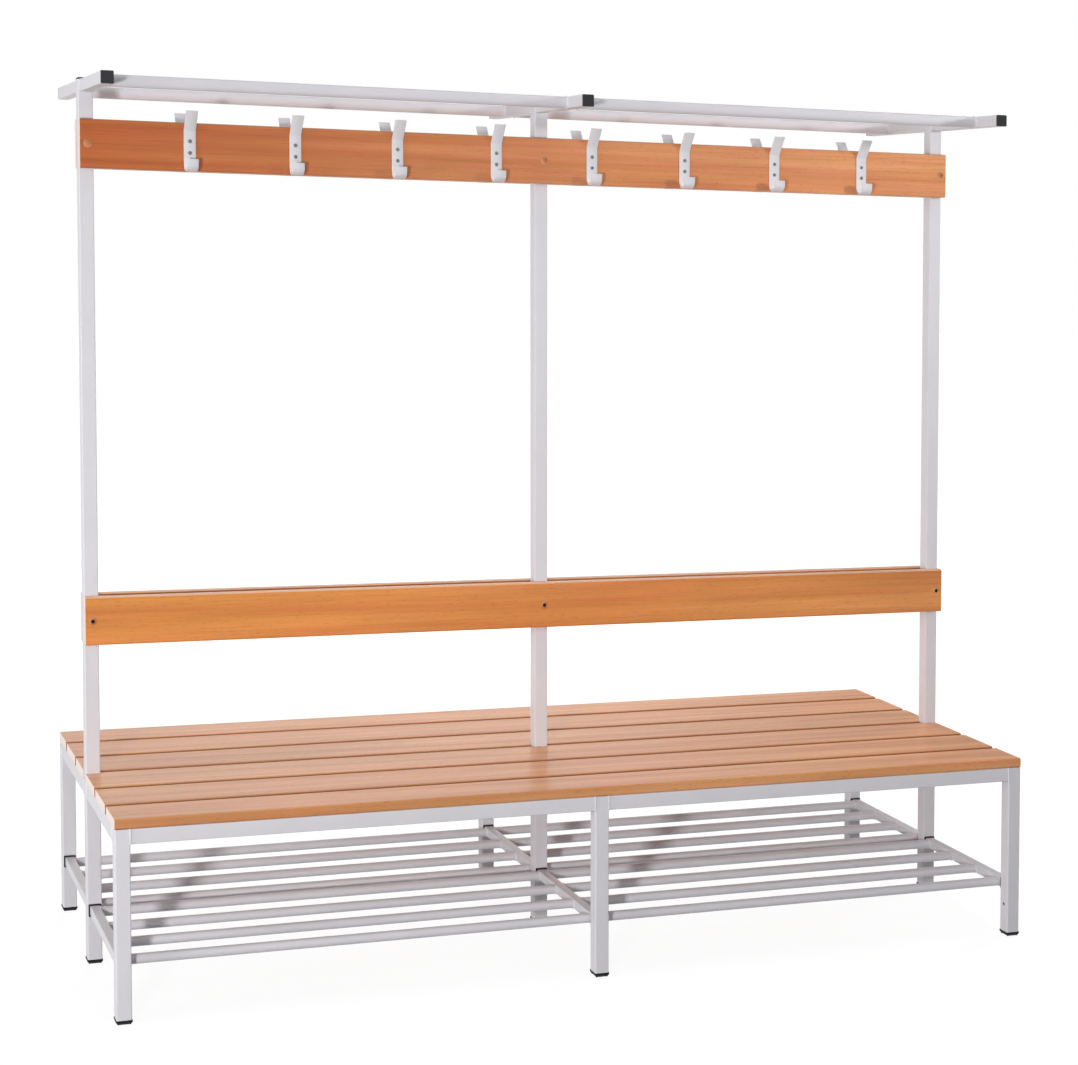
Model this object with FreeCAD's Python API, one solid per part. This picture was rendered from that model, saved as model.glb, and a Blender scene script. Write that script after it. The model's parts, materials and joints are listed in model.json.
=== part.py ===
import FreeCAD
import Part
import math
import os

# Double-sided cloakroom bench: three square-tube frames carry a slatted seat, a rack of
# shoe rods, two backrest boards, two hook boards with coat hooks, and a hat rack on top.
# Millimetres. X runs along the bench, Y from the front side to the rear side, Z up.
# The origin is the middle of the floor area, at floor level.

# Overall sizes
bench_length = 2000.0
bench_depth = 765.0
seat_height = 400.0
arm_top = 1826.0

# Square tube of the legs, uprights and seat frame
frame_tube = 30.0
frame_wall = 1.5
frame_corner = 2.5

# Shoe rack: square crossbars with round rods between them
crossbar_tube = 20.0
crossbar_wall = 1.5
crossbar_corner = 2.0
rod_diameter = 20.0
rod_wall = 1.2
rod_height = 113.5
rods_per_side = 4
rod_gap = 0.5
cap_flange = 3.0
cap_lip = 3.0
cap_spigot = 12.0

# Hat rack: square arms with plugged ends and round tubes between them
arm_tube = 25.0
arm_wall = 1.5
arm_corner = 2.5
arm_reach = 300.0
rack_tube_diameter = 25.0
rack_tube_wall = 1.5
rack_tube_inset = 100.0

# Seat slats
slat_thickness = 20.0
slat_gap = 12.0
outer_slat_width = 104.5
slat_edge = 4.0
notch_clearance = 1.0

# Backrest and hook boards
board_height = 100.0
board_thickness = 20.0
board_edge = 4.0
back_board_gap = 270.0
hook_board_drop = 80.0

# Coat hooks, bent from flat strip
hooks_per_bay = 4
hook_middle_margin = 111.0
hook_end_margin = 223.0
hook_width = 25.0
hook_thickness = 3.0
hook_gap = 26.0
hook_tip = 9.0
prong_reach = 30.0
prong_rise = 22.0
prong_drop = 20.0
prong_bend = 8.0

# Plastic feet and tube plugs
foot_height = 9.0
foot_dome = 5.0
foot_overhang = 1.0
foot_spigot = 20.0
plug_flange = 4.0
plug_edge = 1.2
plug_spigot = 14.0
plug_clearance = 0.15

# Drain hole on the inner face of each end leg
drain_height = 70.0
drain_diameter = 7.0

# Bolts through both boards and an upright
bolt_diameter = 8.0
bolt_head_diameter = 16.0
bolt_head_height = 4.5
nut_across_flats = 13.0
nut_height = 6.5
nut_dome = 5.0
nut_dome_step = 0.5
bolt_clearance = 0.3

# Wood screws of the hooks and of the slats
hook_screw_diameter = 4.0
hook_screw_head = 8.0
hook_screw_head_height = 2.4
hook_screw_cover = 5.0
hook_screw_low = 22.0
hook_screw_spacing = 24.0
seat_screw_diameter = 5.0
seat_screw_head = 10.0
seat_screw_head_height = 3.0
seat_screw_cover = 7.0
seat_screw_inset = 20.0
screw_clearance = 0.1

# Places worked out from the sizes above
half_tube = frame_tube / 2
leg_y = bench_depth / 2 - half_tube
leg_inner_y = leg_y - half_tube
end_x = bench_length / 2 - half_tube
frame_places = {"left": -end_x, "middle": 0.0, "right": end_x}
bay_places = {"left": (-end_x, 0.0), "right": (0.0, end_x)}
sides = {"front": -1, "rear": 1}
slat_underside = seat_height - slat_thickness
rail_z = slat_underside - half_tube
rail_bottom = slat_underside - frame_tube
arm_z = arm_top - arm_tube / 2
arm_end = arm_reach - plug_flange
rack_tube_y = arm_reach - rack_tube_inset
board_face = half_tube + board_thickness
back_board_bottom = seat_height + back_board_gap
hook_board_bottom = arm_top - hook_board_drop - board_height
back_bolt_z = back_board_bottom + board_height / 2
hook_bolt_z = hook_board_bottom + board_height / 2
bolt_heights = (back_bolt_z, hook_bolt_z)
crossbar_start = half_tube + cap_flange
crossbar_end = leg_inner_y - cap_flange
first_rod_y = crossbar_start + rod_gap + rod_diameter / 2
last_rod_y = crossbar_end - rod_gap - rod_diameter / 2
hook_bend_height = hook_thickness + hook_gap / 2
hook_screw_grip = board_thickness - hook_screw_cover
seat_screw_grip = slat_thickness - seat_screw_cover
# The two inner slats of a side share what the outer slat and the gaps leave
outer_slat_start = bench_depth / 2 - outer_slat_width
inner_slat_width = (outer_slat_start - slat_gap / 2) / 2 - slat_gap
middle_slat_start = slat_gap / 2 + inner_slat_width + slat_gap
slat_spans = {
    "inner": (slat_gap / 2, slat_gap / 2 + inner_slat_width),
    "middle": (middle_slat_start, middle_slat_start + inner_slat_width),
    "outer": (outer_slat_start, bench_depth / 2),
}


def vector(x, y, z):
    return FreeCAD.Vector(x, y, z)


def export(node, solids):
    shape = solids[0] if len(solids) == 1 else Part.makeCompound(solids)
    shape.exportStep("parts/" + node + ".step")
    print(node, len(solids), "solids, volume", round(shape.Volume / 1000, 2), "cm3")


def single(shape):
    return shape.Solids[0]


def arc(centre_x, centre_y, radius, start, end):
    # Arc in the XY plane, angles in degrees
    points = []
    for angle in (start, (start + end) / 2, end):
        turn = math.radians(angle)
        points.append(vector(centre_x + radius * math.cos(turn), centre_y + radius * math.sin(turn), 0))
    return Part.Arc(*points).toShape()


def line(start, end):
    return Part.LineSegment(vector(start[0], start[1], 0), vector(end[0], end[1], 0)).toShape()


def rounded_rectangle(width, height, radius):
    # Face in the XY plane, centred on the origin
    x = width / 2
    y = height / 2
    edges = [
        line((-x + radius, -y), (x - radius, -y)),
        arc(x - radius, -y + radius, radius, -90, 0),
        line((x, -y + radius), (x, y - radius)),
        arc(x - radius, y - radius, radius, 0, 90),
        line((x - radius, y), (-x + radius, y)),
        arc(-x + radius, y - radius, radius, 90, 180),
        line((-x, y - radius), (-x, -y + radius)),
        arc(-x + radius, -y + radius, radius, 180, 270),
    ]
    return Part.Face(Part.Wire(edges))


def inner_corner(corner, wall):
    # The inside corner follows the outside one, and stays a little round in a thick wall
    return max(corner - wall, wall / 4)


def square_tube(size, wall, corner, length):
    # Hollow tube standing on the origin
    hollow = size - 2 * wall
    outline = rounded_rectangle(size, size, corner)
    bore = rounded_rectangle(hollow, hollow, inner_corner(corner, wall))
    return outline.cut(bore).extrude(vector(0, 0, length))


def round_tube(diameter, wall, length):
    outside = Part.makeCylinder(diameter / 2, length)
    return outside.cut(Part.makeCylinder(diameter / 2 - wall, length))


def along_x(shape, x, y, z):
    turned = shape.copy()
    turned.rotate(vector(0, 0, 0), vector(0, 1, 0), 90)
    turned.translate(vector(x, y, z))
    return turned


def along_y(shape, x, y, z):
    turned = shape.copy()
    turned.rotate(vector(0, 0, 0), vector(1, 0, 0), -90)
    turned.translate(vector(x, y, z))
    return turned


def moved(shape, x, y, z):
    copy = shape.copy()
    copy.translate(vector(x, y, z))
    return copy


def to_side(shape, side):
    # Pieces are drawn on the rear side and mirrored to the front
    if side > 0:
        return shape
    return shape.mirror(vector(0, 0, 0), vector(0, 1, 0))


def peg(radius, start, direction, length):
    return Part.makeCylinder(radius, length, start, direction)


def tube_spigot(tube, wall, corner, length):
    # Block that fills a tube's end, less the fitting clearance
    size = tube - 2 * wall - 2 * plug_clearance
    return rounded_rectangle(size, size, inner_corner(corner, wall)).extrude(vector(0, 0, length))


def leg(frame_x, inner_direction):
    length = slat_underside - foot_height
    tube = moved(square_tube(frame_tube, frame_wall, frame_corner, length), frame_x, leg_y, foot_height)
    if inner_direction == 0:
        return single(tube)
    start = vector(frame_x, leg_y, drain_height)
    hole = peg(drain_diameter / 2, start, vector(inner_direction, 0, 0), frame_tube)
    return single(tube.cut(hole))


def upright(frame_x):
    length = arm_top - foot_height
    tube = moved(square_tube(frame_tube, frame_wall, frame_corner, length), frame_x, 0, foot_height)
    for height in bolt_heights:
        start = vector(frame_x, -frame_tube, height)
        tube = tube.cut(peg(bolt_diameter / 2 + bolt_clearance, start, vector(0, 1, 0), 2 * frame_tube))
    return single(tube)


def seat_screw_places():
    # Two screws where each slat lies on a cross rail, as distances from the bench's middle line
    places = []
    for start, end in slat_spans.values():
        low = max(start, half_tube)
        high = min(end, leg_inner_y)
        places.append(low + seat_screw_inset)
        places.append(high - seat_screw_inset)
    return places


def seat_cross_rail(frame_x):
    tube = square_tube(frame_tube, frame_wall, frame_corner, leg_inner_y - half_tube)
    rail = along_y(tube, frame_x, half_tube, rail_z)
    for y in seat_screw_places():
        start = vector(frame_x, y, rail_bottom - frame_tube)
        radius = seat_screw_diameter / 2 + screw_clearance
        rail = rail.cut(peg(radius, start, vector(0, 0, 1), 3 * frame_tube))
    return single(rail)


def long_rail(start_x, end_x_place):
    length = end_x_place - start_x - frame_tube
    tube = square_tube(frame_tube, frame_wall, frame_corner, length)
    return single(along_x(tube, start_x + half_tube, leg_y, rail_z))


def shoe_crossbar(frame_x):
    tube = square_tube(crossbar_tube, crossbar_wall, crossbar_corner, crossbar_end - crossbar_start)
    return single(along_y(tube, frame_x, crossbar_start, rod_height))


def crossbar_cap(frame_x, y, direction):
    # Black end cap: its flange stands between a post and the crossbar's end
    flange_size = crossbar_tube + 2 * cap_lip
    flange = rounded_rectangle(flange_size, flange_size, crossbar_corner).extrude(vector(0, 0, cap_flange))
    spigot = tube_spigot(crossbar_tube, crossbar_wall, crossbar_corner, cap_spigot)
    cap = flange.fuse(moved(spigot, 0, 0, cap_flange))
    if direction < 0:
        cap = cap.mirror(vector(0, 0, 0), vector(0, 0, 1))
    return single(along_y(cap, frame_x, y, rod_height))


def shoe_rods(start_x, end_x_place):
    length = end_x_place - start_x - crossbar_tube
    rods = []
    for side in sides.values():
        for index in range(rods_per_side):
            y = first_rod_y + (last_rod_y - first_rod_y) * index / (rods_per_side - 1)
            tube = round_tube(rod_diameter, rod_wall, length)
            rods.append(single(along_x(tube, start_x + crossbar_tube / 2, side * y, rod_height)))
    return rods


def seat_slat(start_y, end_y):
    profile = rounded_rectangle(slat_thickness, end_y - start_y, slat_edge)
    slat = along_x(profile.extrude(vector(0, 0, bench_length)), -bench_length / 2, (start_y + end_y) / 2,
                   slat_underside + slat_thickness / 2)
    notch = frame_tube + 2 * notch_clearance
    for frame_x in frame_places.values():
        corner = vector(frame_x - notch / 2, -notch / 2, slat_underside - slat_thickness)
        slat = slat.cut(Part.makeBox(notch, notch, 3 * slat_thickness, corner))
        for y in seat_screw_places():
            start = vector(frame_x, y, slat_underside)
            radius = seat_screw_diameter / 2 + screw_clearance
            slat = slat.cut(peg(radius, start, vector(0, 0, 1), seat_screw_grip))
    return single(slat)


def seat_screw(frame_x, y):
    up = vector(0, 0, 1)
    head_start = vector(frame_x, y, rail_bottom - seat_screw_head_height)
    head = peg(seat_screw_head / 2, head_start, up, seat_screw_head_height)
    length = frame_tube + seat_screw_grip
    shank = peg(seat_screw_diameter / 2, vector(frame_x, y, rail_bottom), up, length)
    return single(head.fuse(shank))


def hook_places():
    # The hooks of each bay are spread evenly between the middle upright and the board's end
    last = bench_length / 2 - hook_end_margin
    pitch = (last - hook_middle_margin) / (hooks_per_bay - 1)
    bay = [hook_middle_margin + index * pitch for index in range(hooks_per_bay)]
    return [-x for x in reversed(bay)] + bay


def hook_screw_heights():
    low = hook_board_bottom + hook_bend_height + hook_screw_low
    return (low, low + hook_screw_spacing)


def board(bottom, bolt_z):
    profile = rounded_rectangle(board_height, board_thickness, board_edge)
    plank = along_x(profile.extrude(vector(0, 0, bench_length)), -bench_length / 2,
                    half_tube + board_thickness / 2, bottom + board_height / 2)
    for frame_x in frame_places.values():
        start = vector(frame_x, 0, bolt_z)
        plank = plank.cut(peg(bolt_diameter / 2 + bolt_clearance, start, vector(0, 1, 0), 2 * board_face))
    return plank


def hook_board():
    plank = board(hook_board_bottom, hook_bolt_z)
    radius = hook_screw_diameter / 2 + screw_clearance
    for x in hook_places():
        for z in hook_screw_heights():
            start = vector(x, board_face, z)
            plank = plank.cut(peg(radius, start, vector(0, -1, 0), hook_screw_grip))
    return single(plank)


def hook_outline():
    # Side view of a hook: X is the distance out from the board, Y the height above the board's bottom.
    # From the prong's tip down the strip, round the lower bend and up its short tip, then back inside it.
    strip = hook_thickness
    bend_x = strip + hook_gap / 2
    bend_y = hook_bend_height
    tip_x = strip + hook_gap
    tip_y = bend_y + hook_tip
    prong_start = board_height - prong_drop
    prong_top = board_height + prong_rise
    lean = math.atan2(prong_reach, prong_top - prong_start)
    centre_x = strip + prong_bend
    outer = prong_bend + strip
    outer_end = (centre_x - outer * math.cos(lean), prong_start + outer * math.sin(lean))
    inner_end = (centre_x - prong_bend * math.cos(lean), prong_start + prong_bend * math.sin(lean))
    run = (prong_top - inner_end[1]) / math.cos(lean)
    step = (run * math.sin(lean), run * math.cos(lean))
    outer_tip = (outer_end[0] + step[0], outer_end[1] + step[1])
    inner_tip = (inner_end[0] + step[0], inner_end[1] + step[1])
    turn = math.degrees(lean)
    edges = [
        line(outer_tip, outer_end),
        arc(centre_x, prong_start, outer, 180 - turn, 180),
        line((0, prong_start), (0, bend_y)),
        arc(bend_x, bend_y, hook_gap / 2 + strip, 180, 360),
        line((tip_x + strip, bend_y), (tip_x + strip, tip_y)),
        line((tip_x + strip, tip_y), (tip_x, tip_y)),
        line((tip_x, tip_y), (tip_x, bend_y)),
        arc(bend_x, bend_y, hook_gap / 2, 360, 180),
        line((strip, bend_y), (strip, prong_start)),
        arc(centre_x, prong_start, prong_bend, 180, 180 - turn),
        line(inner_end, inner_tip),
        line(inner_tip, outer_tip),
    ]
    return Part.Face(Part.Wire(edges))


def coat_hook(x):
    strip = hook_outline().extrude(vector(0, 0, hook_width))
    # The outline's X becomes +Y and its Y becomes +Z
    strip.rotate(vector(0, 0, 0), vector(1, 1, 1), 120)
    strip.translate(vector(x - hook_width / 2, board_face, hook_board_bottom))
    radius = hook_screw_diameter / 2 + screw_clearance
    for z in hook_screw_heights():
        start = vector(x, board_face - hook_thickness, z)
        strip = strip.cut(peg(radius, start, vector(0, 1, 0), 3 * hook_thickness))
    return single(strip)


def hook_screw(x, z):
    seat_y = board_face + hook_thickness
    length = hook_thickness + hook_screw_grip
    shank = peg(hook_screw_diameter / 2, vector(x, seat_y, z), vector(0, -1, 0), length)
    # The head is a slice of a ball as wide as the head and as high
    rise = hook_screw_head_height
    radius = (rise ** 2 + (hook_screw_head / 2) ** 2) / (2 * rise)
    ball = Part.makeSphere(radius, vector(x, seat_y + rise - radius, z))
    head = ball.common(peg(hook_screw_head, vector(x, seat_y, z), vector(0, 1, 0), hook_screw_head))
    return single(head.fuse(shank))


def board_bolt(frame_x, z):
    # Domed head on the front board, shank through to the nut on the rear board
    seat_y = -board_face
    shank = peg(bolt_diameter / 2, vector(frame_x, seat_y, z), vector(0, 1, 0), 2 * board_face + nut_height)
    rise = bolt_head_height
    radius = (rise ** 2 + (bolt_head_diameter / 2) ** 2) / (2 * rise)
    ball = Part.makeSphere(radius, vector(frame_x, seat_y - rise + radius, z))
    outside = peg(bolt_head_diameter, vector(frame_x, seat_y, z), vector(0, -1, 0), bolt_head_diameter)
    head = ball.common(outside)
    return single(head.fuse(shank))


def board_nut(frame_x, z):
    # Cap nut: a hexagon with a domed end that closes over the shank
    corner = nut_across_flats / math.sqrt(3)
    points = []
    for index in range(7):
        turn = math.radians(60 * index)
        points.append(vector(corner * math.cos(turn), corner * math.sin(turn), 0))
    hexagon = Part.Face(Part.makePolygon(points)).extrude(vector(0, 0, nut_height))
    base = nut_across_flats / 2 - nut_dome_step
    radius = (nut_dome ** 2 + base ** 2) / (2 * nut_dome)
    ball = Part.makeSphere(radius, vector(0, 0, nut_height + nut_dome - radius))
    above = Part.makeCylinder(2 * radius, 2 * radius, vector(0, 0, nut_height))
    nut = hexagon.fuse(ball.common(above))
    bore = Part.makeCylinder(bolt_diameter / 2 + screw_clearance, nut_height)
    return single(along_y(nut.cut(bore), frame_x, board_face, z))


def rack_arm(frame_x):
    tube = square_tube(arm_tube, arm_wall, arm_corner, arm_end - half_tube)
    return single(along_y(tube, frame_x, half_tube, arm_z))


def rack_tube(start_x, end_x_place):
    length = end_x_place - start_x - arm_tube
    tube = round_tube(rack_tube_diameter, rack_tube_wall, length)
    return single(along_x(tube, start_x + arm_tube / 2, rack_tube_y, arm_z))


def tube_plug(tube, wall, corner):
    # Plug lying below the origin, with its flange and its softened outer edges above
    flange = rounded_rectangle(tube, tube, corner).extrude(vector(0, 0, plug_flange))
    top_edges = [edge for edge in flange.Edges if edge.BoundBox.ZMin > plug_flange - plug_edge / 2]
    flange = flange.makeChamfer(plug_edge, top_edges)
    spigot = tube_spigot(tube, wall, corner, plug_spigot)
    return single(flange.fuse(moved(spigot, 0, 0, -plug_spigot)))


def foot_insert(x, y):
    # Square lip with a domed pad under it and a spigot up inside the leg
    lip_size = frame_tube + 2 * foot_overhang
    lip = rounded_rectangle(lip_size, lip_size, frame_corner).extrude(vector(0, 0, foot_height))
    bottom_edges = [edge for edge in lip.Edges if edge.BoundBox.ZMax < foot_dome / 2]
    pad = lip.makeChamfer(foot_dome, bottom_edges)
    spigot = tube_spigot(frame_tube, frame_wall, frame_corner, foot_spigot)
    return single(moved(pad.fuse(moved(spigot, 0, 0, foot_height)), x, y, 0))


def build_frames():
    for place, frame_x in frame_places.items():
        inner_direction = {"left": 1, "middle": 0, "right": -1}[place]
        for side_name, side in sides.items():
            export(side_name + "_leg_" + place, [to_side(leg(frame_x, inner_direction), side)])
        export("upright_" + place, [upright(frame_x)])
        rail = seat_cross_rail(frame_x)
        export("seat_cross_rails_" + place, [to_side(rail, side) for side in sides.values()])
    for bay, (start_x, stop_x) in bay_places.items():
        for side_name, side in sides.items():
            export(side_name + "_rail_" + bay, [to_side(long_rail(start_x, stop_x), side)])


def build_shoe_rack():
    caps = []
    for place, frame_x in frame_places.items():
        bar = shoe_crossbar(frame_x)
        export("shoe_crossbars_" + place, [to_side(bar, side) for side in sides.values()])
        for side in sides.values():
            caps.append(to_side(crossbar_cap(frame_x, half_tube, 1), side))
            caps.append(to_side(crossbar_cap(frame_x, leg_inner_y, -1), side))
    export("crossbar_caps", caps)
    for bay, (start_x, stop_x) in bay_places.items():
        export("shoe_rods_" + bay, shoe_rods(start_x, stop_x))


def build_seat():
    for side_name, side in sides.items():
        for slat_name, (start_y, end_y) in slat_spans.items():
            export(side_name + "_" + slat_name + "_slat", [to_side(seat_slat(start_y, end_y), side)])
    screws = []
    for frame_x in frame_places.values():
        for y in seat_screw_places():
            for side in sides.values():
                screws.append(seat_screw(frame_x, side * y))
    export("seat_screws", screws)


def build_boards():
    back = single(board(back_board_bottom, back_bolt_z))
    hooked = hook_board()
    screws = []
    for side_name, side in sides.items():
        export(side_name + "_back_board", [to_side(back, side)])
        export(side_name + "_hook_board", [to_side(hooked, side)])
        for number, x in enumerate(hook_places(), start=1):
            export(side_name + "_hook_" + str(number), [to_side(coat_hook(x), side)])
            for z in hook_screw_heights():
                screws.append(to_side(hook_screw(x, z), side))
    export("hook_screws", screws)
    places = [(frame_x, z) for frame_x in frame_places.values() for z in bolt_heights]
    export("board_bolts", [board_bolt(frame_x, z) for frame_x, z in places])
    export("board_nuts", [board_nut(frame_x, z) for frame_x, z in places])


def build_hat_rack():
    plugs = []
    for place, frame_x in frame_places.items():
        export("rack_arms_" + place, [to_side(rack_arm(frame_x), side) for side in sides.values()])
        plug = along_y(tube_plug(arm_tube, arm_wall, arm_corner), frame_x, arm_end, arm_z)
        plugs.extend(to_side(plug, side) for side in sides.values())
    export("arm_plugs", plugs)
    for bay, (start_x, stop_x) in bay_places.items():
        tube = rack_tube(start_x, stop_x)
        export("rack_tubes_" + bay, [to_side(tube, side) for side in sides.values()])


def build_feet_and_plugs():
    feet = []
    plugs = []
    for frame_x in frame_places.values():
        feet.extend(foot_insert(frame_x, y) for y in (-leg_y, 0, leg_y))
        plugs.append(moved(tube_plug(frame_tube, frame_wall, frame_corner), frame_x, 0, arm_top))
    export("foot_inserts", feet)
    export("upright_plugs", plugs)


os.makedirs("parts", exist_ok=True)
build_frames()
build_shoe_rack()
build_seat()
build_boards()
build_hat_rack()
build_feet_and_plugs()
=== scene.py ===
import json
import math
import bpy
from mathutils import Matrix, Vector


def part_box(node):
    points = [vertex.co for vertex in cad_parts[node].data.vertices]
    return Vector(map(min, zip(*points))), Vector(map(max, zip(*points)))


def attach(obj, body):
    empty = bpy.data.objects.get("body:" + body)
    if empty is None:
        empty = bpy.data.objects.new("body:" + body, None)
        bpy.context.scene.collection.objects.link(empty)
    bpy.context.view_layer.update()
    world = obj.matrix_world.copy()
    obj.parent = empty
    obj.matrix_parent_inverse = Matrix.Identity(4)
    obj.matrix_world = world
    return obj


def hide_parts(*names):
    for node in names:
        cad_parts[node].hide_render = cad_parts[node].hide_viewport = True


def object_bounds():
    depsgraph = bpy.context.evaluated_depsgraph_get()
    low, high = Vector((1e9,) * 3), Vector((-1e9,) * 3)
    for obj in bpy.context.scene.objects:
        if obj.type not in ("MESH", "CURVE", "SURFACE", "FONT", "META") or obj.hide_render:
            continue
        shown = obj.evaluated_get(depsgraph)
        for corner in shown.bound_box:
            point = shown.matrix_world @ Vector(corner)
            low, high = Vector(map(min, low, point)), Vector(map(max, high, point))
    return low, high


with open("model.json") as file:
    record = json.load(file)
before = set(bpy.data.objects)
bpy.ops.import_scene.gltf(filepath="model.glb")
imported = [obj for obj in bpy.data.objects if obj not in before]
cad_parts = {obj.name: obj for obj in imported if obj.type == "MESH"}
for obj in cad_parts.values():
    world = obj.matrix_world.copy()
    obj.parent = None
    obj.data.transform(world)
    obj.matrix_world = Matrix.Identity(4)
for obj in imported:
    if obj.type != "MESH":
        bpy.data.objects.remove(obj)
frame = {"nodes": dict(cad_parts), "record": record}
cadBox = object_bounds()
nodes = frame["nodes"]
mm = 0.001  # sizes below are in millimetres, Blender works in metres
print("frame loaded:", len(nodes), "nodes")


def toLinear(hexColour):
    channels = [int(hexColour[i:i + 2], 16) / 255 for i in (1, 3, 5)]
    return [c / 12.92 if c <= 0.04045 else ((c + 0.055) / 1.055) ** 2.4 for c in channels] + [1.0]


def addNode(tree, kind, inputs=None, **settings):
    node = tree.nodes.new(kind)
    for name, value in settings.items():
        setattr(node, name, value)
    for key, value in (inputs or {}).items():
        if isinstance(value, bpy.types.NodeSocket):
            tree.links.new(value, node.inputs[key])
        else:
            node.inputs[key].default_value = value
    return node


def newMaterial(name):
    material = bpy.data.materials.new(name)
    material.use_nodes = True
    tree = material.node_tree
    tree.nodes.clear()
    return material, tree, addNode(tree, "ShaderNodeTexCoord").outputs["Object"]


def closeMaterial(tree, surface):
    shader = addNode(tree, "ShaderNodeBsdfPrincipled", surface)
    addNode(tree, "ShaderNodeOutputMaterial", {"Surface": shader.outputs[0]})


# Steel tube under a sprayed and baked powder coat: an even pale grey with a soft sheen,
# a faint orange-peel ripple and hardly any change of tone
tubeCoatLook = {
    "light": "#dddbe0", "dark": "#d3d1d7", "cloud": 90, "rough": (0.34, 0.44),  # clouds and grain in mm across
    "grain": 3.2, "grainFine": 2.0, "grainDepth": 0.05,  # real peel is under 2, drawn coarser so that it shows
}
# The same coat on the bent strip of the hooks, a touch cooler
hookCoatLook = {**tubeCoatLook, "light": "#dddce0", "dark": "#d2d1d6"}
# Moulded polyamide: nearly black, a fine matt spark-eroded grain
plugLook = {
    "light": "#242427", "dark": "#151517", "cloud": 1.4, "rough": (0.42, 0.6),
    "grain": 1.4, "grainFine": 3.0, "grainDepth": 0.12,  # real grain is finer, drawn coarser so that it shows
}
# Moulded polyethylene: as dark, with a waxy surface that mirrors less
footLook = {**plugLook, "shine": 0.12}
# Steel under bright zinc plating: a cool grey metal with cloudy patches
zincLook = {"light": "#a9a7a3", "dark": "#83817d", "cloud": 5, "rough": (0.42, 0.58), "metal": 1.0}
# The same under a yellow chromate bath: a dull coppery brass with darker clouds, near the wood's own tone
chromateLook = {"light": "#e0a67a", "dark": "#c88d64", "cloud": 4, "rough": (0.5, 0.65), "metal": 1.0}
cloudFine = 3.0  # detail in the noise of the clouds


def cloudyFinish(name, look):
    # clouds between two close tones, and a fine grain where the surface has one
    material, tree, place = newMaterial(name)
    scale = 1 / (look["cloud"] * mm)
    noise = addNode(tree, "ShaderNodeTexNoise", {"Vector": place, "Scale": scale, "Detail": cloudFine})
    cloud = noise.outputs["Fac"]
    tone = addNode(tree, "ShaderNodeMix", {0: cloud, 6: toLinear(look["dark"]), 7: toLinear(look["light"])},
                   data_type="RGBA")
    rough = addNode(tree, "ShaderNodeMapRange", {0: cloud, 3: look["rough"][0], 4: look["rough"][1]})
    surface = {"Base Color": tone.outputs[2], "Roughness": rough.outputs[0],
               "Metallic": look.get("metal", 0.0), "Specular IOR Level": look.get("shine", 0.5)}
    if "grain" in look:
        scale = 1 / (look["grain"] * mm)
        grain = addNode(tree, "ShaderNodeTexNoise", {"Vector": place, "Scale": scale,
                                                     "Detail": look["grainFine"]})
        bump = addNode(tree, "ShaderNodeBump", {"Height": grain.outputs["Fac"], "Distance": 1 / scale,
                                                "Strength": look["grainDepth"]})
        surface["Normal"] = bump.outputs[0]
    closeMaterial(tree, surface)
    return material


# Beech under a clear satin lacquer: a warm, close-grained wood with long soft streaks,
# short dark ray flecks and slow changes of tone along a plank; the end faces are painted pale as painted light
beechLook = {
    "streak": "#e2cbb4", "red": "#fff0ee", "olive": "#faf6dd",
    # the fleck is the wood's own; the next two are painted light on the sawn ends and painted shade on a
    # slat's sides, deepest in the gaps
    "fleck": "#9c5c30", "end": "#eed6c6", "gapShade": "#9c683f",
    # each kind of mark: its length and width, and how fine its noise is
    "figures": (900, 26, 4.0), "patches": (420, 150, 2.0), "hues": (300, 13, 1.0),
    "grains": (160, 3.2, 2.0), "flecks": (14, 2.2, 1.0),  # real flecks are about half as large
    "noiseSpan": (0.3, 0.7), "hueSpan": (0.35, 0.65), "fleckSpan": (0.63, 0.72), "fleckShare": 0.4,
    "patchShade": (0.90, 1.08), "grainShade": (0.94, 1.05), "grainDepth": 0.05,
    "boardRough": (0.24, 0.34), "slatRough": (0.20, 0.30), "lacquerIor": 1.5,
    # how far a face turns before it counts as an end, a side or a top
    "endTurn": (0.7, 0.9), "sideTurn": (0.5, 0.9), "topTurn": (0.2, 0.7),
    "gapShadeEnd": 340, "edgeShare": 0.25,  # painted shade: further out than this, a slat's side is only a little darker
    # painted highlight on a back board's upper edge, painted shade on a hook board's
    "topLightShade": {"back_board": ("#ffe2cc", 0.42), "hook_board": ("#8c6248", 0.4)},
    "plankShift": (1.7, 0.31, 0.53),  # metres between the grain of one plank and of the next
}
# The tone of a plank at its left and right end; the front hook board's much paler right end is partly its own
# tone and partly a painted sheen of the right lamp
plankTonesAndSheen = {
    "front_hook_board": ("#c06d36", "#f2b68b"),
    "front_back_board": ("#e89e56", "#e4a05f"),
    "board": ("#dc955c", "#e09c62"),
    "slat": ("#e7aa76", "#f4b27a"),
}


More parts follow.
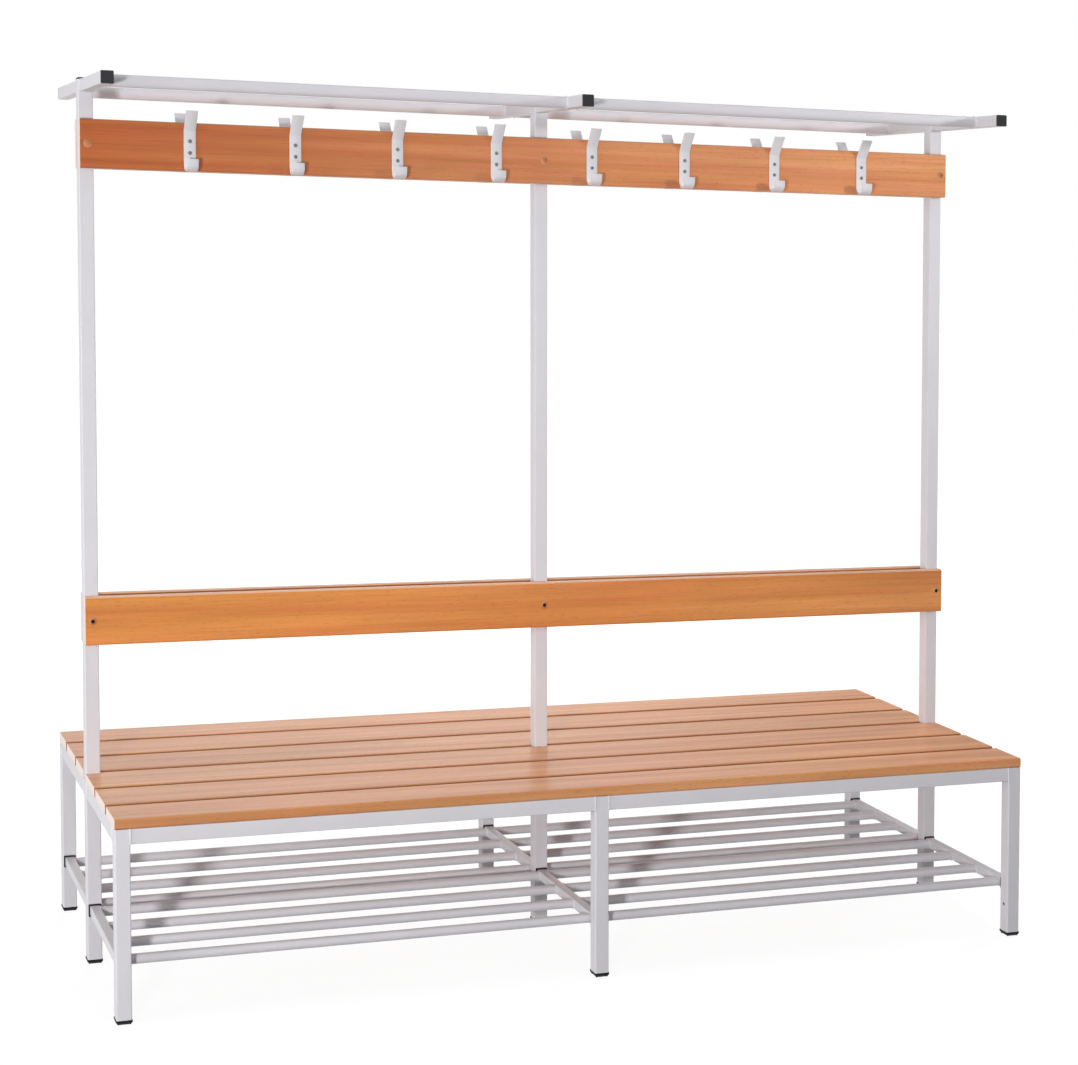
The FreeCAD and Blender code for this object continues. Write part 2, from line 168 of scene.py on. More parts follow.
def lacqueredBeech(plank, number):
    look = beechLook
    isSlat = plank.endswith("slat")
    left, right = plankTonesAndSheen.get(plank) or plankTonesAndSheen["slat" if isSlat else "board"]
    rough = look["slatRough" if isSlat else "boardRough"]
    material, tree, place = newMaterial("lacqueredBeech." + plank)
    shift = [number * step for step in look["plankShift"]]
    moved = addNode(tree, "ShaderNodeVectorMath", {0: place, 1: shift}, operation="ADD")
    noises = {}
    for kind in ("figures", "patches", "hues", "grains", "flecks"):
        length, width, fine = look[kind]
        scale = (1 / (length * mm), 1 / (width * mm), 1 / (width * mm))
        drawn = addNode(tree, "ShaderNodeVectorMath", {0: moved.outputs[0], 1: scale}, operation="MULTIPLY")
        noise = addNode(tree, "ShaderNodeTexNoise", {"Vector": drawn.outputs[0], "Scale": 1.0,
                                                     "Detail": fine})
        noises[kind] = noise.outputs["Fac"]

    # layers that multiply: the tone from end to end (on the front hook board partly a painted sheen), streaks,
    # hues, slow and fine shades
    spot = addNode(tree, "ShaderNodeSeparateXYZ", {0: place})
    along = addNode(tree, "ShaderNodeMapRange", {0: spot.outputs[0], 1: cadBox[0][0], 2: cadBox[1][0]})
    low, high = look["noiseSpan"]
    figure = addNode(tree, "ShaderNodeMapRange", {0: noises["figures"], 1: low, 2: high})
    warmth = addNode(tree, "ShaderNodeMapRange", {0: noises["hues"], 1: look["hueSpan"][0],
                                                  2: look["hueSpan"][1]})
    layers = []
    for mask, paint, other in ((along, left, right), (figure, look["streak"], "#ffffff"),
                               (warmth, look["red"], look["olive"])):
        mixed = addNode(tree, "ShaderNodeMix", {0: mask.outputs[0], 6: toLinear(paint), 7: toLinear(other)},
                        data_type="RGBA")
        layers.append(mixed.outputs[2])
    for kind, (dark, light) in (("patches", look["patchShade"]), ("grains", look["grainShade"])):
        shade = addNode(tree, "ShaderNodeMapRange", {0: noises[kind], 1: low, 2: high, 3: dark, 4: light})
        layers.append(shade.outputs[0])
    colour = layers[0]
    for layer in layers[1:]:
        colour = addNode(tree, "ShaderNodeMix", {0: 1.0, 6: colour, 7: layer},
                         data_type="RGBA", blend_type="MULTIPLY").outputs[2]

    # paints that cover: flecks, painted light on the sawn ends, then painted shade on a slat's sides or
    # painted light and shade on a board's upper edge
    low, high = look["fleckSpan"]
    fleckMask = addNode(tree, "ShaderNodeMapRange", {0: noises["flecks"], 1: low, 2: high,
                                                     3: 0.0, 4: look["fleckShare"]})
    normal = addNode(tree, "ShaderNodeNewGeometry").outputs["Normal"]
    facing = addNode(tree, "ShaderNodeSeparateXYZ", {0: normal})
    endWise = addNode(tree, "ShaderNodeMath", {0: facing.outputs[0]}, operation="ABSOLUTE")
    # painted light: the end faces are painted pale
    endMask = addNode(tree, "ShaderNodeMapRange", {0: endWise.outputs[0], 1: look["endTurn"][0],
                                                   2: look["endTurn"][1]})
    paints = [(fleckMask, look["fleck"]), (endMask, look["end"])]
    if isSlat:
        # painted shade: the narrow sides are darker, most of all down in the gap to the next slat
        sideWise = addNode(tree, "ShaderNodeMath", {0: facing.outputs[1]}, operation="ABSOLUTE")
        sideMask = addNode(tree, "ShaderNodeMapRange", {0: sideWise.outputs[0], 1: look["sideTurn"][0],
                                                        2: look["sideTurn"][1]})
        across = addNode(tree, "ShaderNodeMath", {0: spot.outputs[1]}, operation="ABSOLUTE")
        within = addNode(tree, "ShaderNodeMath", {0: across.outputs[0], 1: look["gapShadeEnd"] * mm},
                         operation="LESS_THAN")
        depth = addNode(tree, "ShaderNodeMapRange", {0: within.outputs[0], 3: look["edgeShare"], 4: 1.0})
        gapShadeMask = addNode(tree, "ShaderNodeMath", {0: sideMask.outputs[0], 1: depth.outputs[0]},
                            operation="MULTIPLY")
        paints.append((gapShadeMask, look["gapShade"]))
    else:
        # painted light and shade: the eased upper edge is paler on a back board (a painted highlight) and
        # darker on a hook board (painted shade)
        topLightTone, topLightShare = look["topLightShade"][plank.split("_", 1)[1]]
        topLightMask = addNode(tree, "ShaderNodeMapRange", {0: facing.outputs[2], 1: look["topTurn"][0],
                                                       2: look["topTurn"][1], 3: 0.0, 4: topLightShare})
        paints.append((topLightMask, topLightTone))
    for mask, paint in paints:
        colour = addNode(tree, "ShaderNodeMix", {0: mask.outputs[0], 6: colour, 7: toLinear(paint)},
                         data_type="RGBA").outputs[2]
    gloss = addNode(tree, "ShaderNodeMapRange", {0: noises["grains"], 3: rough[0], 4: rough[1]})
    bump = addNode(tree, "ShaderNodeBump", {"Height": noises["grains"], "Strength": look["grainDepth"],
                                            "Distance": look["grains"][1] * mm})
    closeMaterial(tree, {"Base Color": colour, "Roughness": gloss.outputs[0], "Normal": bump.outputs[0],
                         "IOR": look["lacquerIor"]})
    return material


tubeCoat = cloudyFinish("powderCoatedTube", tubeCoatLook)
hookCoat = cloudyFinish("powderCoatedStrip", hookCoatLook)
plastic = cloudyFinish("blackPolyamide", plugLook)
footPlastic = cloudyFinish("blackPolyethylene", footLook)
zinc = cloudyFinish("zincPlatedSteel", zincLook)
yellowZinc = cloudyFinish("yellowChromatedSteel", chromateLook)

slotOf = {row["node"]: row["material_slot"] for row in frame["record"]["subparts"]}
plainFinish = {"powder_coat": tubeCoat, "hook_coat": hookCoat, "black_plastic": plastic, "zinc_steel": zinc}
for number, (node, piece) in enumerate(sorted(nodes.items())):
    if slotOf[node] == "beech":
        finish = lacqueredBeech(node, number)
    else:
        finish = footPlastic if node == "foot_inserts" else plainFinish[slotOf[node]]
    piece.data.materials.clear()
    piece.data.materials.append(finish)
print("finishes set")

sharpFrom = 35  # degrees between two faces that meet in a sharp edge


def newTree(name, sizes):
    # the inputs are named for the sizes; a size of three numbers is a vector
    tree = bpy.data.node_groups.new(name, "GeometryNodeTree")
    tree.interface.new_socket("Geometry", in_out="OUTPUT", socket_type="NodeSocketGeometry")
    tree.interface.new_socket("Places", in_out="INPUT", socket_type="NodeSocketGeometry")
    sockets = {}
    for label, value in sizes.items():
        kind = "NodeSocketVector" if isinstance(value, tuple) else "NodeSocketFloat"
        sockets[label] = tree.interface.new_socket(label, in_out="INPUT", socket_type=kind).identifier
    return tree, sockets, addNode(tree, "NodeGroupInput").outputs


def placeCopies(tree, points, shape, **turning):
    # one copy of the shape on each point, turned the way that the point faces
    facing = addNode(tree, "GeometryNodeInputNamedAttribute", {"Name": "facing"}, data_type="FLOAT_VECTOR")
    turn = addNode(tree, "FunctionNodeAlignRotationToVector", {"Vector": facing.outputs[0]}, **turning)
    copies = addNode(tree, "GeometryNodeInstanceOnPoints", {"Points": points, "Instance": shape,
                                                            "Rotation": turn.outputs[0]})
    return addNode(tree, "GeometryNodeRealizeInstances", {0: copies.outputs[0]}).outputs[0]


def closeTree(tree, geometry, material):
    coated = addNode(tree, "GeometryNodeSetMaterial", {"Geometry": geometry, "Material": material})
    addNode(tree, "NodeGroupOutput", {0: coated.outputs[0]})


def growPiece(name, grower, places, sizes, replaced=()):
    # loose points, each with the way that its copy faces, grow into one plain mesh
    tree, sockets = grower
    points = bpy.data.meshes.new(name)
    points.from_pydata([place for place, facing in places], [], [])
    ways = points.attributes.new("facing", "FLOAT_VECTOR", "POINT")
    for row, (place, facing) in zip(ways.data, places):
        row.vector = facing
    piece = bpy.data.objects.new(name, points)
    bpy.context.scene.collection.objects.link(piece)
    modifier = piece.modifiers.new(name, "NODES")
    modifier.node_group = tree
    for label, value in sizes.items():
        modifier[sockets[label]] = value
    grown = bpy.data.meshes.new_from_object(piece.evaluated_get(bpy.context.evaluated_depsgraph_get()))
    piece.modifiers.remove(modifier)
    piece.data = grown
    grown.shade_smooth()
    grown.set_sharp_from_angle(angle=math.radians(sharpFrom))
    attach(piece, "root")
    if replaced:
        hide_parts(*replaced)
    print(name, len(places), "copies,", len(grown.polygons), "faces")


def middle(node):
    low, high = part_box(node)
    return [(a + b) / 2 for a, b in zip(low, high)]


front, rear, down = (0, -1, 0), (0, 1, 0), (0, 0, -1)
frameX = [middle("upright_" + place)[0] for place in ("left", "middle", "right")]
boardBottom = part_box("front_hook_board")[0][2]
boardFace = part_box("rear_hook_board")[1][1]
hookNodes = [[n for n in sorted(nodes) if n.startswith(side + "_hook_") and n[-1].isdigit()]
             for side in ("front", "rear")]
hookPlaces = [((middle(n)[0], facing[1] * boardFace, boardBottom), facing)
              for row, facing in zip(hookNodes, (front, rear)) for n in row]

# Coat hook: one strip of flat steel, bent out to a prong on top and to an open mouth below
hookLook = {
    "width": 25, "thickness": 3, "edge": 1.1, "gap": 26, "tip": 9,
    "boardHeight": 100, "prongReach": 30, "prongRise": 22, "prongDrop": 20, "prongBend": 8,
    "mouthShare": 0.998,  # the two bends of the mouth don't quite meet
    "bendSteps": 7, "edgeSteps": 2,
}
hookCorners = ["Prong End", "Prong Corner", "Back Corner", "Front Corner", "Tip End"]
hookBends = {"Prong Corner": "Prong Bend", "Back Corner": "Mouth Bend", "Front Corner": "Mouth Bend"}


def hookSizes():
    # corners of the strip's middle line before its bends are rounded,
    # each one out from the board and up from the board's bottom
    look = hookLook
    half = look["thickness"] / 2
    start = look["boardHeight"] - look["prongDrop"]
    top = look["boardHeight"] + look["prongRise"]
    lean = math.atan2(look["prongReach"], top - start)
    bend = look["prongBend"] + half
    turnIn = look["thickness"] + look["prongBend"]
    run = (top - start - look["prongBend"] * math.sin(lean)) / math.cos(lean)
    prongEnd = (turnIn - bend * math.cos(lean) + run * math.sin(lean),
                start + bend * math.sin(lean) + run * math.cos(lean))
    prongCorner = (half, start + bend * math.tan(lean / 2))
    mouth = look["gap"] + look["thickness"] + half
    tipEnd = look["thickness"] + look["gap"] / 2 + look["tip"]
    corners = [prongEnd, prongCorner, (half, half), (mouth, half), (mouth, tipEnd)]
    sizes = {name: (0.0, out * mm, up * mm) for name, (out, up) in zip(hookCorners, corners)}
    sizes["Width"] = look["width"] * mm
    sizes["Thickness"] = look["thickness"] * mm
    sizes["Edge"] = look["edge"] * mm
    sizes["Prong Bend"] = bend * mm
    sizes["Mouth Bend"] = (look["gap"] + look["thickness"]) / 2 * mm * look["mouthShare"]
    return sizes


def hookGrower(sizes):
    look = hookLook
    tree, sockets, given = newTree("coatHooks", sizes)
    index = addNode(tree, "GeometryNodeInputIndex").outputs[0]
    corner = addNode(tree, "GeometryNodeIndexSwitch", {0: index}, data_type="VECTOR")
    bend = addNode(tree, "GeometryNodeIndexSwitch", {0: index}, data_type="FLOAT")
    for switch in (corner, bend):
        while len(switch.index_switch_items) < len(hookCorners):
            switch.index_switch_items.new()
    for number, name in enumerate(hookCorners):
        tree.links.new(given[name], corner.inputs[number + 1])
        if name in hookBends:
            tree.links.new(given[hookBends[name]], bend.inputs[number + 1])
    row = addNode(tree, "GeometryNodeMeshLine", {"Count": len(hookCorners)})
    bent = addNode(tree, "GeometryNodeSetPosition", {0: row.outputs[0], "Position": corner.outputs[0]})
    path = addNode(tree, "GeometryNodeMeshToCurve", {0: bent.outputs[0]})
    rounded = addNode(tree, "GeometryNodeFilletCurve", {0: path.outputs[0], "Radius": bend.outputs[0],
                                                        "Count": look["bendSteps"]}, mode="POLY")
    section = addNode(tree, "GeometryNodeCurvePrimitiveQuadrilateral", {"Width": given["Width"],
                                                                        "Height": given["Thickness"]})
    eased = addNode(tree, "GeometryNodeFilletCurve", {0: section.outputs[0], "Radius": given["Edge"],
                                                      "Count": look["edgeSteps"]}, mode="POLY")
    strip = addNode(tree, "GeometryNodeCurveToMesh", {0: rounded.outputs[0], 1: eased.outputs[0],
                                                      "Fill Caps": True})
    hooks = placeCopies(tree, given["Places"], strip.outputs[0], axis="Y", pivot_axis="Z")
    closeTree(tree, hooks, hookCoat)
    return tree, sockets


def coatHooks():
    sizes = hookSizes()
    growPiece("coatHooks", hookGrower(sizes), hookPlaces, sizes, hookNodes[0] + hookNodes[1])


# Domed screws and bolts, drawn with the head's seat at the place and the head along its facing
screwLook = {
    "hook": {"head": 8, "rise": 2.4, "shank": 4, "length": 18, "slot": 5, "slotWide": 1.2, "slotDeep": 1.3},
    "seat": {"head": 10, "rise": 3, "shank": 5, "length": 43, "slot": 6, "slotWide": 1.5, "slotDeep": 1.6},
    "bolt": {"head": 17, "rise": 2.6, "shank": 8, "length": 76, "socket": 8, "slotDeep": 2.6},
    "hookLow": 38, "hookSpacing": 24, "seatInset": 20,
    "segments": 24, "rings": 32, "shankSides": 16,
}
hexSides = 6
cornerReach = 1 / math.sqrt(3)  # a hexagon's corner from its middle, over its width across flats


def screwSizes(kind):
    size = {label: value * mm for label, value in screwLook[kind].items()}
    # the head is a slice of a ball of this radius, and a block cuts away what lies below its seat
    dome = (size["rise"] ** 2 + (size["head"] / 2) ** 2) / (2 * size["rise"])
    sizes = {
        "Dome": dome, "Dome Up": (0.0, 0.0, size["rise"] - dome),
        "Cut": (4 * dome, 4 * dome, 4 * dome), "Cut Up": (0.0, 0.0, -2 * dome),
        "Shank": size["shank"] / 2, "Length": size["length"], "Shank Up": (0.0, 0.0, -size["length"] / 2),
        "Slot Up": (0.0, 0.0, size["rise"]),
    }
    tall = 2 * size["slotDeep"]  # half of it stands above the head
    if "socket" in size:
        sizes["Socket"] = size["socket"] * cornerReach
        sizes["Socket Tall"] = tall
    else:
        sizes["Slot Along"] = (size["slot"], size["slotWide"], tall)
        sizes["Slot Across"] = (size["slotWide"], size["slot"], tall)
    return sizes


def screwGrower(name, finish, sizes):
    # a slice of a ball with a cross cut, or with a six-sided socket, on a plain shank
    look = screwLook
    tree, sockets, given = newTree(name, sizes)
    ball = addNode(tree, "GeometryNodeMeshUVSphere", {"Segments": look["segments"], "Rings": look["rings"],
                                                      "Radius": given["Dome"]})
    shank = addNode(tree, "GeometryNodeMeshCylinder", {"Vertices": look["shankSides"],
                                                       "Radius": given["Shank"], "Depth": given["Length"]})
    cutters = [(addNode(tree, "GeometryNodeMeshCube", {"Size": given["Cut"]}), "Cut Up")]
    if "Socket" in sizes:
        socket = addNode(tree, "GeometryNodeMeshCylinder", {"Vertices": hexSides, "Radius": given["Socket"],
                                                            "Depth": given["Socket Tall"]})
        cutters.append((socket, "Slot Up"))
    else:
        for slot in ("Slot Along", "Slot Across"):
            cutters.append((addNode(tree, "GeometryNodeMeshCube", {"Size": given[slot]}), "Slot Up"))
    placed = []
    for shape, up in [(ball, "Dome Up"), (shank, "Shank Up")] + cutters:
        moved = addNode(tree, "GeometryNodeTransform", {0: shape.outputs[0], "Translation": given[up]})
        placed.append(moved.outputs[0])
    cutting = addNode(tree, "GeometryNodeJoinGeometry")
    for cutter in placed[2:]:
        tree.links.new(cutter, cutting.inputs[0])
    head = addNode(tree, "GeometryNodeMeshBoolean", {"Mesh 1": placed[0], "Mesh 2": cutting.outputs[0],
                                                     "Self Intersection": True},
                   operation="DIFFERENCE", solver="EXACT")
    whole = addNode(tree, "GeometryNodeJoinGeometry", {0: head.outputs[0]})
    tree.links.new(placed[1], whole.inputs[0])
    closeTree(tree, placeCopies(tree, given["Places"], whole.outputs[0], axis="Z"), finish)
    return tree, sockets


# Dark discs sunk in the bolt sockets of the backrest: painted shade down in the sockets
socketShadeLook = {"across": 7.9, "height": 1.1}
# Cap nut: a hexagon with turned-off corners under a dome
nutLook = {
    "across": 13, "height": 6.5, "dome": 6.1, "domeUp": 5.4, "turned": 11.2, "turnedUp": -2.6,
    "segments": 24, "rings": 24,
}


def prismSizes(look):
    height = look["height"] * mm
    return {"Reach": look["across"] * mm * cornerReach, "Height": height,
            "Prism Up": (0.0, 0.0, height / 2)}


def prismIn(tree, given):
    # a hexagon that stands on its place
    prism = addNode(tree, "GeometryNodeMeshCylinder", {"Vertices": hexSides, "Radius": given["Reach"],
                                                       "Depth": given["Height"]})
    raised = addNode(tree, "GeometryNodeTransform", {0: prism.outputs[0], "Translation": given["Prism Up"]})
    return raised.outputs[0]


def socketShadeGrower(sizes):
    tree, sockets, given = newTree("socketShadeDiscs", sizes)
    closeTree(tree, placeCopies(tree, given["Places"], prismIn(tree, given), axis="Z"), footPlastic)
    return tree, sockets


def nutSizes():
    look = nutLook
    sizes = prismSizes(look)
    for label, key in (("Turned", "turned"), ("Dome", "dome")):
        sizes[label] = look[key] * mm
        sizes[label + " Up"] = (0.0, 0.0, look[key + "Up"] * mm)
    return sizes


def nutGrower(sizes):
    look = nutLook
    tree, sockets, given = newTree("capNuts", sizes)
    nut = prismIn(tree, given)
    for label, kind in (("Turned", "INTERSECT"), ("Dome", "UNION")):
        ball = addNode(tree, "GeometryNodeMeshUVSphere", {"Segments": look["segments"],
                                                          "Rings": look["rings"], "Radius": given[label]})
        raised = addNode(tree, "GeometryNodeTransform", {0: ball.outputs[0],
                                                         "Translation": given[label + " Up"]})
        worked = addNode(tree, "GeometryNodeMeshBoolean", {"Mesh 2": nut}, operation=kind, solver="EXACT")
        tree.links.new(raised.outputs[0], worked.inputs["Mesh 2"])
        nut = worked.outputs[0]
    closeTree(tree, placeCopies(tree, given["Places"], nut, axis="Z"), zinc)
    return tree, sockets


def fasteners():
    look = screwLook
    hookSize, seatSize, boltSize = screwSizes("hook"), screwSizes("seat"), screwSizes("bolt")
    crossed = screwGrower("crossScrews", zinc, hookSize)
    strip = hookLook["thickness"] * mm
    places = []
    for (x, y, z), facing in hookPlaces:
        for up in (look["hookLow"], look["hookLow"] + look["hookSpacing"]):
            places.append(((x, y + facing[1] * strip, z + up * mm), facing))
    growPiece("hookScrews", crossed, places, hookSize, ["hook_screws"])

    # two screws from below where each slat lies on a cross rail
    inset = look["seatInset"] * mm
    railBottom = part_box("seat_cross_rails_left")[0][2]
    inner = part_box("upright_left")[1][1]
    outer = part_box("rear_leg_left")[0][1]
    places = []
    for slat in ("rear_inner_slat", "rear_middle_slat", "rear_outer_slat"):
        low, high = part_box(slat)
        for y in (max(low[1], inner) + inset, min(high[1], outer) - inset):
            places += [((x, side * y, railBottom), down) for x in frameX for side in (-1, 1)]
    growPiece("seatScrews", crossed, places, seatSize, ["seat_screws"])

    heights = [middle(board)[2] for board in ("front_back_board", "front_hook_board")]
    bolts = [((x, -boardFace, z), front) for x in frameX for z in heights]
    socketed = screwGrower("socketBolts", yellowZinc, boltSize)
    growPiece("boardBolts", socketed, bolts, boltSize, ["board_bolts"])
    backBolts = [row for row in bolts if row[0][2] == heights[0]]  # painted socket shade only where backs lean
    socketShadeSize = prismSizes(socketShadeLook)
    growPiece("socketShadeDiscs", socketShadeGrower(socketShadeSize), backBolts, socketShadeSize)
    nuts = [((x, boardFace, z), rear) for x in frameX for z in heights]
    nutSize = nutSizes()
    growPiece("capNuts", nutGrower(nutSize), nuts, nutSize, ["board_nuts"])


# Weld beads where tubes meet, under the same coat: a thin rippled roll round each joint
weldLook = {
    "bead": 1.7, "uneven": 0.8, "ripple": 7, "rippleFine": 1.0, "swell": (0.75, 1.2),
    "noiseSpan": (0.3, 0.7), "noiseMiddle": 0.5,
    "sides": 8, "steps": 48, "tubeCorner": 2.5, "cornerSteps": 3, "firstRod": 28.5, "rodsPerSide": 4,
}


def weldGrower(name, sizes):
    # a ring of bead round a square tube, or round a round one
    look = weldLook
    tree, sockets, given = newTree(name, sizes)
    if "Across" in sizes:
        square = addNode(tree, "GeometryNodeCurvePrimitiveQuadrilateral", {"Width": given["Across"],
                                                                           "Height": given["Across"]})
        corner = look["tubeCorner"] * mm
        ring = addNode(tree, "GeometryNodeFilletCurve", {0: square.outputs[0], "Radius": corner,
                                                         "Count": look["cornerSteps"]}, mode="POLY")
    else:
        ring = addNode(tree, "GeometryNodeCurvePrimitiveCircle", {"Radius": given["Radius"]})
    stepped = addNode(tree, "GeometryNodeResampleCurve", {0: ring.outputs[0], "Count": look["steps"]})
    rings = placeCopies(tree, given["Places"], stepped.outputs[0], axis="Z")
    noise = addNode(tree, "ShaderNodeTexNoise", {"Scale": 1 / (look["ripple"] * mm),
                                                 "Detail": look["rippleFine"]})
    low, high = look["noiseSpan"]
    swell = addNode(tree, "ShaderNodeMapRange", {0: noise.outputs["Fac"], 1: low, 2: high,
                                                 3: look["swell"][0], 4: look["swell"][1]})
    centred = addNode(tree, "ShaderNodeVectorMath", {0: noise.outputs["Color"], 1: [look["noiseMiddle"]] * 3},
                      operation="SUBTRACT")
    offset = addNode(tree, "ShaderNodeVectorMath", {0: centred.outputs[0], "Scale": given["Uneven"]},
                     operation="SCALE")
    wavy = addNode(tree, "GeometryNodeSetPosition", {0: rings, "Offset": offset.outputs[0]})
    section = addNode(tree, "GeometryNodeCurvePrimitiveCircle", {"Resolution": look["sides"],
                                                                 "Radius": given["Bead"]})
    bead = addNode(tree, "GeometryNodeCurveToMesh", {0: wavy.outputs[0], 1: section.outputs[0],
                                                     "Scale": swell.outputs[0]})
    closeTree(tree, bead.outputs[0], tubeCoat)
    return tree, sockets


def endRings(node, distances):
    # a ring at both ends of each tube of a node that runs along X, on both sides of the middle
    low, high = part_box(node)
    return [((x, side * y, (low[2] + high[2]) / 2), (1, 0, 0))
            for y in distances for x in (low[0], high[0]) for side in (-1, 1)]


def weldBeads():
    look = weldLook
    rings = {"rodWelds": [], "rackWelds": [], "railWelds": [], "armWelds": []}
    across = {}
    for bay in ("left", "right"):
        low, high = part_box("shoe_rods_" + bay)
        across["rodWelds"] = high[2] - low[2]
        first, last = look["firstRod"] * mm, high[1] - across["rodWelds"] / 2
        spaces = look["rodsPerSide"] - 1
        distances = [first + (last - first) * index / spaces for index in range(look["rodsPerSide"])]
        rings["rodWelds"] += endRings("shoe_rods_" + bay, distances)
        low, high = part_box("rack_tubes_" + bay)
        across["rackWelds"] = high[2] - low[2]
        rings["rackWelds"] += endRings("rack_tubes_" + bay, [high[1] - across["rackWelds"] / 2])
        for side in ("front", "rear"):
            node = side + "_rail_" + bay
            low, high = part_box(node)
            rings["railWelds"] += [((x, *middle(node)[1:]), (1, 0, 0)) for x in (low[0], high[0])]
    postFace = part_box("upright_left")[1][1]
    for place in ("left", "middle", "right"):
        low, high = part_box("seat_cross_rails_" + place)
        across["railWelds"] = high[2] - low[2]
        x, y, z = middle("seat_cross_rails_" + place)
        rings["railWelds"] += [((x, y, z), rear) for y in (low[1], -postFace, postFace, high[1])]
        low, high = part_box("rack_arms_" + place)
        across["armWelds"] = high[2] - low[2]
        x, y, z = middle("rack_arms_" + place)
        rings["armWelds"] += [((x, y, z), rear) for y in (-postFace, postFace)]
    for name, places in rings.items():
        sizes = {"Bead": look["bead"] * mm, "Uneven": look["uneven"] * mm}
        if name in ("railWelds", "armWelds"):
            sizes["Across"] = across[name]
        else:
            sizes["Radius"] = across[name] / 2
        growPiece(name, weldGrower(name, sizes), places, sizes)


coatHooks()
fasteners()
weldBeads()
print("fittings made")

# Floor: white to the camera, with the bench's own soft shadow; far out the glow alone makes it white
floorLook = {"size": 60, "albedo": 0.28, "shadowShare": 0.16, "glow": 0.9, "near": 2.0, "far": 5.0}


def whiteFloor():
    look = floorLook
    mesh = bpy.data.meshes.new("floor")
    half = look["size"] / 2
    corners = [(-half, -half, 0), (half, -half, 0), (half, half, 0), (-half, half, 0)]
    mesh.from_pydata(corners, [], [(0, 1, 2, 3)])
    floor = bpy.data.objects.new("floor", mesh)
    bpy.context.scene.collection.objects.link(floor)
    material, tree, place = newMaterial("paperFloor")
    bounce = addNode(tree, "ShaderNodeBsdfDiffuse", {"Color": [look["albedo"]] * 3 + [1.0]})
    shadow = addNode(tree, "ShaderNodeBsdfDiffuse", {"Color": [look["shadowShare"]] * 3 + [1.0]})
    out = addNode(tree, "ShaderNodeVectorMath", {0: place}, operation="LENGTH")
    level = addNode(tree, "ShaderNodeMapRange", {0: out.outputs["Value"], 1: look["near"], 2: look["far"],
                                                 3: look["glow"], 4: 1.0})
    glow = addNode(tree, "ShaderNodeEmission", {"Strength": level.outputs[0]})
    seen = addNode(tree, "ShaderNodeAddShader", {0: shadow.outputs[0], 1: glow.outputs[0]})
    ray = addNode(tree, "ShaderNodeLightPath").outputs
    direct = addNode(tree, "ShaderNodeMath", {0: ray["Is Camera Ray"], 1: ray["Is Glossy Ray"]},
                     operation="MAXIMUM")
    shown = addNode(tree, "ShaderNodeMath", {0: direct.outputs[0], 1: ray["Is Transmission Ray"]},
                    operation="MAXIMUM")
    mixed = addNode(tree, "ShaderNodeMixShader", {0: shown.outputs[0], 1: bounce.outputs[0],
                                                  2: seen.outputs[0]})
    addNode(tree, "ShaderNodeOutputMaterial", {"Surface": mixed.outputs[0]})
    mesh.materials.append(material)


# World: white where it is seen, softer as a light, and in gloss a pale wall that dims towards the right
worldLook = {"seen": 1.0, "light": 0.28, "dimmed": 0.45, "dimFrom": 0.36, "dimTo": 0.5}


def studioWorld():
    world = bpy.data.worlds.new("studioWorld")
    bpy.context.scene.world = world
    world.use_nodes = True
    tree = world.node_tree
    tree.nodes.clear()
    look = worldLook
    ray = addNode(tree, "ShaderNodeLightPath").outputs
    shown = addNode(tree, "ShaderNodeMath", {0: ray["Is Camera Ray"], 1: ray["Is Transmission Ray"]},
                    operation="MAXIMUM")
    direction = addNode(tree, "ShaderNodeTexCoord").outputs["Generated"]
    way = addNode(tree, "ShaderNodeSeparateXYZ", {0: direction})
    wall = addNode(tree, "ShaderNodeMapRange", {0: way.outputs[0], 1: look["dimFrom"], 2: look["dimTo"],
                                                3: look["seen"], 4: look["dimmed"]})
    mirrored = addNode(tree, "ShaderNodeMix", {0: ray["Is Glossy Ray"], 2: look["light"],
                                               3: wall.outputs[0]})
    level = addNode(tree, "ShaderNodeMix", {0: shown.outputs[0], 2: mirrored.outputs[0], 3: look["seen"]})
    back = addNode(tree, "ShaderNodeBackground", {"Color": (1, 1, 1, 1), "Strength": level.outputs[0]})
    addNode(tree, "ShaderNodeOutputWorld", {"Surface": back.outputs[0]})


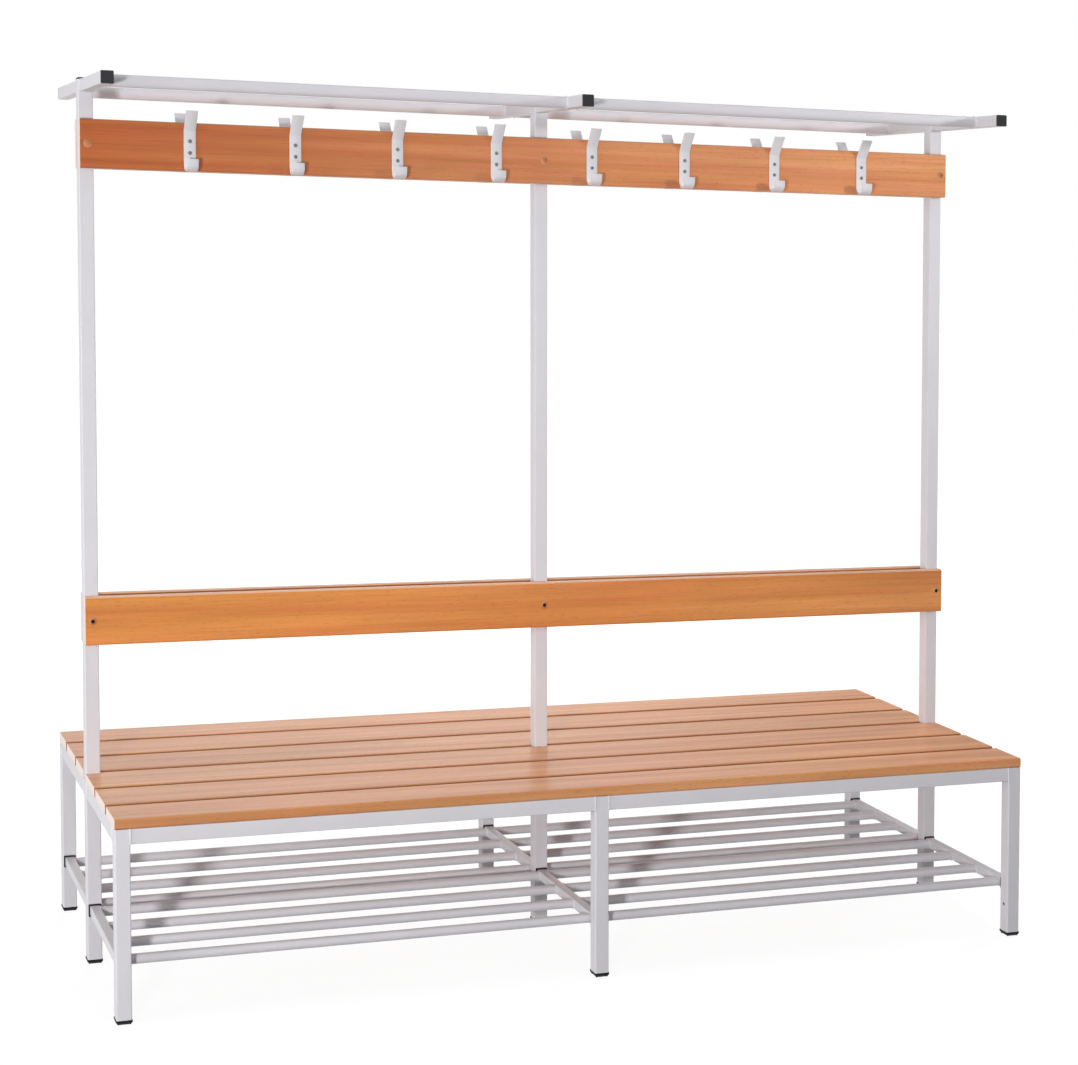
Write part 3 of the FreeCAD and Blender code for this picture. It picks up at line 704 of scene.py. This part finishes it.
# Lamps: a small key low at the left and a narrow one at the right, a broad fill from the left, a soft top,
# and soft lights from behind and from the right for bright upper edges. Gloss mirrors no lamp.
softboxes = [
    {"name": "leftKey", "place": (-2.8, -4.4, 1.1), "aim": (-0.4, 0, 1.1),
     "size": (0.3, 0.3), "spread": 180, "watts": 128},
    {"name": "leftFill", "place": (-6.0, -1.6, 1.3), "aim": (-0.5, 0, 1.0),
     "size": (2.0, 2.0), "spread": 100, "watts": 42},
    {"name": "rightKey", "place": (4.5, -4.0, 2.5), "aim": (0.8, 0, 1.6),
     "size": (0.3, 0.3), "spread": 30, "watts": 4.0},
    {"name": "topBox", "place": (0.5, -0.4, 8.0), "aim": (0.2, 0, 0.4),
     "size": (6.0, 4.0), "spread": 180, "watts": 140},
    {"name": "rearBox", "place": (0.8, 4.8, 1.45), "aim": (0, 0, 0.2),
     "size": (1.6, 1.0), "spread": 180, "watts": 172},
    {"name": "rightBox", "place": (5.2, 1.6, 1.2), "aim": (0.3, 0, 0.2),
     "size": (1.2, 0.8), "spread": 180, "watts": 110},
]


def studioLights():
    for box in softboxes:
        lamp = bpy.data.lights.new(box["name"], "AREA")
        lamp.shape = "RECTANGLE"
        lamp.size, lamp.size_y = box["size"]
        lamp.energy = box["watts"]
        lamp.spread = math.radians(box["spread"])
        light = bpy.data.objects.new(box["name"], lamp)
        light.visible_glossy = False
        bpy.context.scene.collection.objects.link(light)
        aim = Vector(box["aim"]) - Vector(box["place"])
        turn = aim.to_track_quat("-Z", "Y").to_matrix().to_4x4()
        light.matrix_world = Matrix.Translation(box["place"]) @ turn


# Camera: the photograph's frame is 1078 pixels wide, and the focal length is in those pixels
cameraLook = {
    "frameWide": 1078, "focal": 2172.1, "sensor": 36,
    "place": (-1.642, -4.495, 1.523), "yaw": 0.35253, "pitch": 0.05508,
    "shift": (-0.0044, -0.16), "skew": 0.0251,
}


def photoCamera():
    look = cameraLook
    data = bpy.data.cameras.new("photoCamera")
    camera = bpy.data.objects.new("photoCamera", data)
    bpy.context.scene.collection.objects.link(camera)
    data.sensor_width = look["sensor"]
    data.lens = look["focal"] * look["sensor"] / look["frameWide"]
    data.shift_x, data.shift_y = look["shift"]
    yaw, pitch = look["yaw"], look["pitch"]
    ahead = Vector((math.sin(yaw) * math.cos(pitch), math.cos(yaw) * math.cos(pitch), -math.sin(pitch)))
    right = Vector((math.cos(yaw), -math.sin(yaw), 0))
    up = right.cross(ahead)
    # the photograph's level lines lean a little while its uprights don't: the frame is skewed
    skewed = right + look["skew"] * up
    stand = bpy.data.objects.new("cameraStand", None)
    bpy.context.scene.collection.objects.link(stand)
    camera.parent = stand
    columns = [list(skewed) + [0], list(up) + [0], list(-ahead) + [0], list(look["place"]) + [1]]
    camera.matrix_parent_inverse = Matrix(columns).transposed()
    bpy.context.scene.camera = camera


whiteFloor()
studioWorld()
studioLights()
photoCamera()
bpy.context.scene.view_settings.view_transform = "Standard"
print("stage set")
